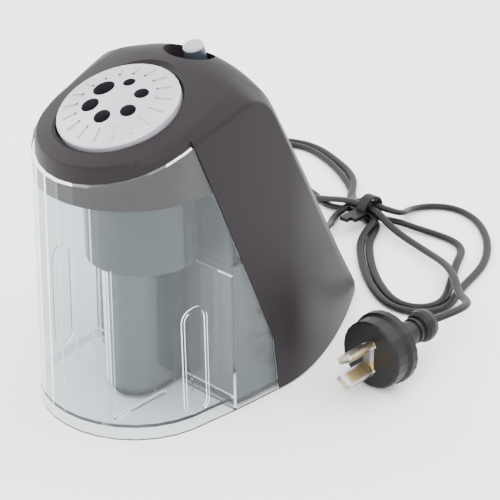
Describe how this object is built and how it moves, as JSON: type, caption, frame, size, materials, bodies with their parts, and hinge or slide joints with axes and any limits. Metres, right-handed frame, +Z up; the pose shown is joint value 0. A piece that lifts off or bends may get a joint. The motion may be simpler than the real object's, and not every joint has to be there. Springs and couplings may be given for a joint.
{
  "type": "electric pencil sharpener",
  "caption": "Desk-top electric pencil sharpener with a tilted dial of graded pencil holes, a helical cutter, a clear pull-out shavings receptacle and a tied mains cord.",
  "frame": {"origin": "on the table, under the middle of the body's plan from the receptacle's front to the strain relief's tip", "axes": "+X to the right seen from the front, +Y towards the back, +Z up; the receptacle and the dial face -Y"},
  "size_m": [0.2862, 0.3578, 0.1867],
  "materials": {
    "charcoal_shell": "satin moulded, warm charcoal",
    "smoke_clear": "polished, smoke tinted clear plastic",
    "silver_dial": "satin silver lacquer",
    "silver_button": "satin silver lacquer",
    "blue_grey_plastic": "satin moulded",
    "black_rubber": "matt",
    "black_flex": "soft satin",
    "black_switch": "matt",
    "white_nylon": "satin",
    "plated_steel": "zinc plated",
    "tool_steel": "ground, oiled",
    "brass": "machined",
    "copper_winding": "enamelled copper wire",
    "clear_guard": "milky clear plastic"
  },
  "bodies": {
    "base": {"housing_shell": "charcoal_shell", "front_bulkhead": "blue_grey_plastic", "cutter_housing": "blue_grey_plastic", "dial_seat": "charcoal_shell", "base_plate": "charcoal_shell", "base_screw_1": "plated_steel", "base_screw_2": "plated_steel", "base_screw_3": "plated_steel", "base_screw_4": "plated_steel", "rubber_foot_1": "black_rubber", "rubber_foot_2": "black_rubber", "rubber_foot_3": "black_rubber", "rubber_foot_4": "black_rubber", "terminal_block": "white_nylon", "motor_capacitor": "plated_steel", "gear_plate": "plated_steel", "compound_axle": "tool_steel", "start_switch": "black_switch", "power_switch": "black_switch", "button_spring": "plated_steel", "ring_gear": "white_nylon", "stator_core": "tool_steel", "stator_coil_1": "copper_winding", "stator_coil_2": "copper_winding", "upper_bush": "brass", "lower_bush": "brass", "upper_bracket": "plated_steel", "lower_bracket": "plated_steel", "strain_relief": "black_rubber", "cord_lead": "black_flex", "cord_loop_1": "black_flex", "cord_loop_2": "black_flex", "cord_loop_3": "black_flex", "cord_loop_4": "black_flex", "cord_tail": "black_flex", "cord_neck": "black_flex", "twist_tie": "black_flex", "plug_body": "black_flex", "plug_pin_1": "brass", "plug_pin_2": "brass"},
    "receptacle": {"receptacle": "smoke_clear"},
    "dial": {"dial": "silver_dial", "dial_retainer": "tool_steel"},
    "button": {"push_button": "silver_button"},
    "carrier": {"cutter_carrier": "tool_steel", "carrier_gear": "white_nylon", "cutter_pin": "tool_steel"},
    "cutter": {"helical_cutter": "tool_steel", "cutter_pinion": "brass"},
    "compound": {"compound_gear": "white_nylon"},
    "rotor": {"rotor": "tool_steel", "motor_pinion": "brass", "cooling_fan": "blue_grey_plastic"},
    "lever": {"start_lever": "white_nylon"},
    "guard": {"pin_guard": "clear_guard"}
  },
  "joints": [
    {"name": "receptacle_slide", "type": "slide", "parent": "base", "child": "receptacle", "axis": [0, -1, 0], "range_m": [0, 0.11]},
    {"name": "dial_spin", "type": "hinge", "parent": "base", "child": "dial", "pos_m": [0, -0.07178, 0.1678], "axis": [0, -0.3616, 0.9323], "continuous": true},
    {"name": "button_press", "type": "slide", "parent": "base", "child": "button", "axis": [0, 0.2756, -0.9613], "range_m": [0, 0.003], "stiffness_N_per_m": 300, "springref_m": -0.004, "deforming": ["button_spring"]},
    {"name": "carrier_spin", "type": "hinge", "parent": "base", "child": "carrier", "pos_m": [0.00299, -0.08386, 0.16311], "axis": [0, -0.3616, 0.9323], "continuous": true},
    {"name": "cutter_spin", "type": "hinge", "parent": "carrier", "child": "cutter", "pos_m": [0.01299, -0.07471, 0.13953], "axis": [0.1994, -0.3544, 0.9136], "continuous": true},
    {"name": "compound_spin", "type": "hinge", "parent": "base", "child": "compound", "pos_m": [0.00912, -0.05553, 0.1741], "axis": [0, -0.3616, 0.9323], "continuous": true},
    {"name": "rotor_spin", "type": "hinge", "parent": "base", "child": "rotor", "pos_m": [0, -0.03635, 0.18154], "axis": [0, -0.3616, 0.9323], "continuous": true},
    {"name": "lever_hinge", "type": "hinge", "parent": "base", "child": "lever", "pos_m": [0.021, -0.08867, 0.15052], "axis": [0, 0.3616, -0.9323], "range_deg": [0, 10], "stiffness_Nm_per_rad": 0.01, "springref_deg": -11.46},
    {"name": "guard_slide", "type": "slide", "parent": "base", "child": "guard", "axis": [0, -1, 0], "range_m": [0, 0.026]}
  ],
  "couplings": [
    {"joint": "cutter_spin", "follows": "carrier_spin", "ratio": -3},
    {"joint": "compound_spin", "follows": "carrier_spin", "ratio": -4.1667},
    {"joint": "rotor_spin", "follows": "carrier_spin", "ratio": 16.667}
  ]
}
